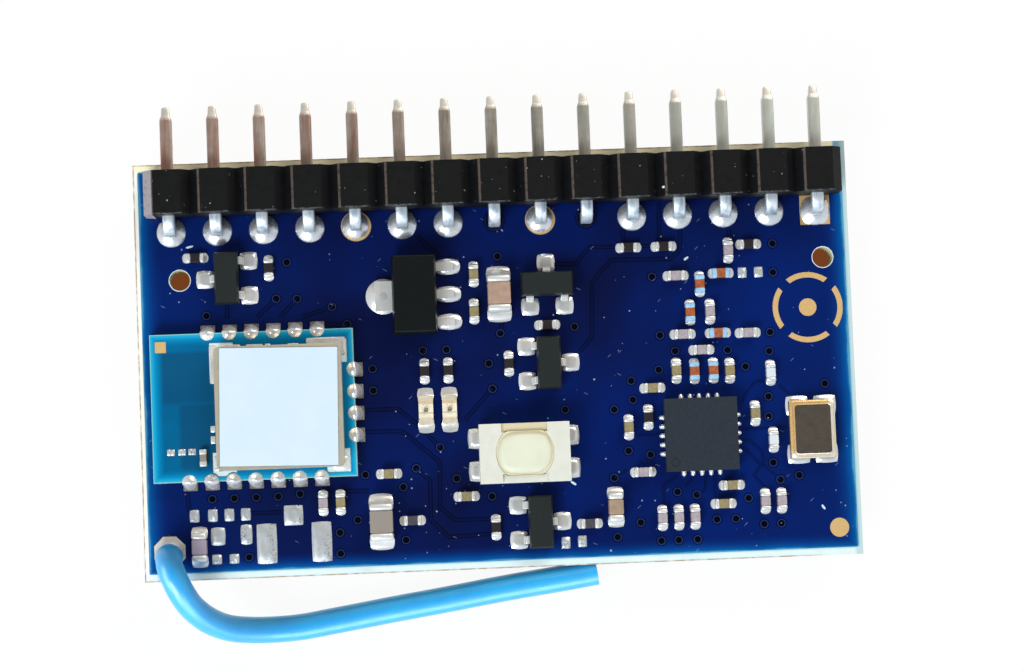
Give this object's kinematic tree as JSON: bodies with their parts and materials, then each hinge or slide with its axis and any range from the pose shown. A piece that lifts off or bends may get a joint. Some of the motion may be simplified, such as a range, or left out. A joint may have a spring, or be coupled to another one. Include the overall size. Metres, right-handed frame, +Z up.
{
  "type": "radio transceiver board",
  "caption": "Small blue radio transceiver circuit board with a shielded radio module, push switch, lamps, right-angle pin header and a stiff blue wire aerial",
  "frame": {"origin": "on the table under the middle of the board and its header pins, the aerial left out; the board lies parts side up on its pin tails and on the aerial", "axes": "+X along the long side of the board to the right, +Y to the back where the header pins point, +Z up out of the parts side"},
  "size_m": [0.0394, 0.0294, 0.0061],
  "materials": {
    "laminate": "bare glass-fibre laminate, sawn edges",
    "blue_mask": "glossy navy-blue solder mask over copper",
    "teal_mask": "glossy teal-blue solder mask",
    "gold": "thin gold plating on copper",
    "solder": "bright reflowed solder",
    "tin_plate": "dull tin plating",
    "header_black": "black moulded plastic",
    "package_black": "black moulded epoxy",
    "blue_insulation": "soft-gloss sky-blue wire insulation",
    "copper": "bare copper wire",
    "can_tin": "tinned steel sheet",
    "paper": "white printed-label film, left plain",
    "switch_cream": "cream moulded plastic",
    "dome_steel": "spring steel",
    "case_ceramic": "fired ceramic",
    "lid_metal": "dark nickel lid",
    "quartz": "polished quartz",
    "lamp_white": "white lamp base",
    "lamp_clear": "milky clear resin",
    "resistor_black": "black glaze",
    "tan_ceramic": "tan fired ceramic",
    "grey_ceramic": "mauve-grey fired ceramic",
    "bead_ferrite": "dark ferrite",
    "inductor_brown": "brown ceramic with a blue film",
    "middle_ceramic": "brown-grey fired ceramic",
    "large_ceramic": "pinkish-tan fired ceramic",
    "module_ceramic": "fired ceramic"
  },
  "bodies": {
    "board": {"main_board": "laminate", "solder_mask_top": "blue_mask", "solder_mask_bottom": "blue_mask", "gold_marks": "gold", "spare_pads": "solder", "header_housing": "header_black", "header_pins": "tin_plate", "header_solder": "solder", "aerial_wire": "blue_insulation", "aerial_core": "copper", "aerial_pad": "gold", "aerial_solder": "solder", "module_board": "laminate", "module_mask": "teal_mask", "module_pads": "solder", "module_joints": "solder", "screening_can": "can_tin", "can_label": "paper", "can_solder": "solder", "module_radio_chip": "package_black", "module_crystal": "lid_metal", "module_chips": "module_ceramic", "regulator_body": "package_black", "regulator_leads": "tin_plate", "transistor_1_body": "package_black", "transistor_2_body": "package_black", "transistor_3_body": "package_black", "transistor_4_body": "package_black", "transistor_1_leads": "tin_plate", "transistor_2_leads": "tin_plate", "transistor_3_leads": "tin_plate", "transistor_4_leads": "tin_plate", "radio_chip_body": "package_black", "radio_chip_terminals": "tin_plate", "crystal_case": "case_ceramic", "crystal_blank": "quartz", "crystal_seal_ring": "gold", "crystal_lid": "lid_metal", "switch_base": "switch_cream", "switch_frame": "switch_cream", "switch_dome": "dome_steel", "switch_terminals": "tin_plate", "lamp_bases": "lamp_white", "lamp_ends": "tin_plate", "lamp_lenses": "lamp_clear", "resistor_bodies": "resistor_black", "tan_capacitor_bodies": "tan_ceramic", "grey_capacitor_bodies": "grey_ceramic", "bead_bodies": "bead_ferrite", "inductor_bodies": "inductor_brown", "small_chip_ends": "tin_plate", "small_chip_solder": "solder", "middle_capacitor_bodies": "middle_ceramic", "large_capacitor_bodies": "large_ceramic", "larger_capacitor_ends": "tin_plate", "device_solder": "solder"},
    "button": {"switch_button": "switch_cream"}
  },
  "joints": [
    {"name": "button_press", "type": "slide", "parent": "board", "child": "button", "axis": [0, 0, -1], "range_m": [0, 0.00025], "stiffness_N_per_m": 6400, "deforming": ["switch_dome"]}
  ]
}
